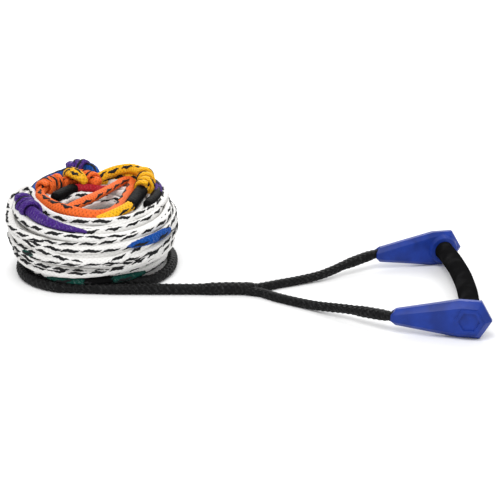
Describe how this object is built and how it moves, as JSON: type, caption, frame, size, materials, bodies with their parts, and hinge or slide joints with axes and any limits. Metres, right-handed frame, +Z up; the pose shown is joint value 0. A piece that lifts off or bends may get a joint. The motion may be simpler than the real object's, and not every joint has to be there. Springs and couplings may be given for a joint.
{
  "type": "tow rope handle",
  "caption": "Water ski tow handle: foam grip between two moulded end caps on a rope bridle, with its coiled tow line of coloured take-off sections.",
  "frame": {"origin": "On the floor under the middle of the handle (grip and end caps, without the rope).", "axes": "+Y along the grip from the front cap to the rear cap, +Z up, and +X from the rope towards the grip; the rope and its coil lie on the -X side."},
  "size_m": [0.7079, 0.4376, 0.1432],
  "materials": {
    "moulded_blue": "satin moulded polymer",
    "black_foam": "closed-cell foam, finely textured",
    "bare_aluminium": "drawn tube, bare",
    "black_plug": "matte",
    "black_rope": "braided polyethylene, dull sheen",
    "white_rope": "braided polyethylene with black tracer dashes",
    "orange_rope": "braided polyethylene",
    "yellow_rope": "braided polyethylene",
    "purple_rope": "braided polyethylene",
    "blue_rope": "braided polyethylene",
    "green_rope": "braided polyethylene",
    "red_rope": "braided polyethylene",
    "black_sleeve": "shrunk sleeve, satin"
  },
  "bodies": {
    "rope": {"bridle_leg_front": "black_rope", "bridle_leg_rear": "black_rope", "leg_splice_front": "black_rope", "leg_splice_rear": "black_rope", "throat_splice": "black_rope", "handle_stem": "black_rope", "foot_turn": "black_rope", "mainline_coil": "white_rope", "orange_splice": "orange_rope", "orange_eye": "orange_rope", "orange_neck_wrap": "orange_rope", "orange_link": "orange_rope", "orange_back_wrap": "orange_rope", "yellow_cross_strand": "yellow_rope", "yellow_upper_strand": "yellow_rope", "yellow_lower_strand": "yellow_rope", "yellow_wrap": "yellow_rope", "yellow_tail": "yellow_rope", "yellow_tag_sleeve": "black_sleeve", "yellow_line_in_sleeve": "yellow_rope", "purple_right_strand": "purple_rope", "purple_tag_sleeve": "black_sleeve", "purple_line_in_sleeve": "purple_rope", "purple_back_wrap": "purple_rope", "purple_left_wrap": "purple_rope", "purple_left_tail": "purple_rope", "blue_back_strand": "blue_rope", "blue_back_end": "blue_rope", "blue_side_section": "blue_rope", "green_side_section": "green_rope", "green_foot_section": "green_rope", "green_foot_tag_sleeve": "black_sleeve", "green_foot_end": "green_rope", "red_inner_strand": "red_rope", "red_tag_sleeve": "black_sleeve", "red_line_in_sleeve": "red_rope"},
    "handle": {"end_cap_front": "moulded_blue", "end_cap_rear": "moulded_blue", "core_tube": "bare_aluminium", "foam_grip": "black_foam", "tube_plug_front": "black_plug", "tube_plug_rear": "black_plug", "bar_eye_front": "black_rope", "bar_eye_rear": "black_rope"}
  },
  "joints": [
    {"name": "handle_lift", "type": "hinge", "parent": "rope", "child": "handle", "pos_m": [-0.0719, 0, 0.0228], "axis": [0, -1, 0], "range_deg": [0, 90]}
  ]
}
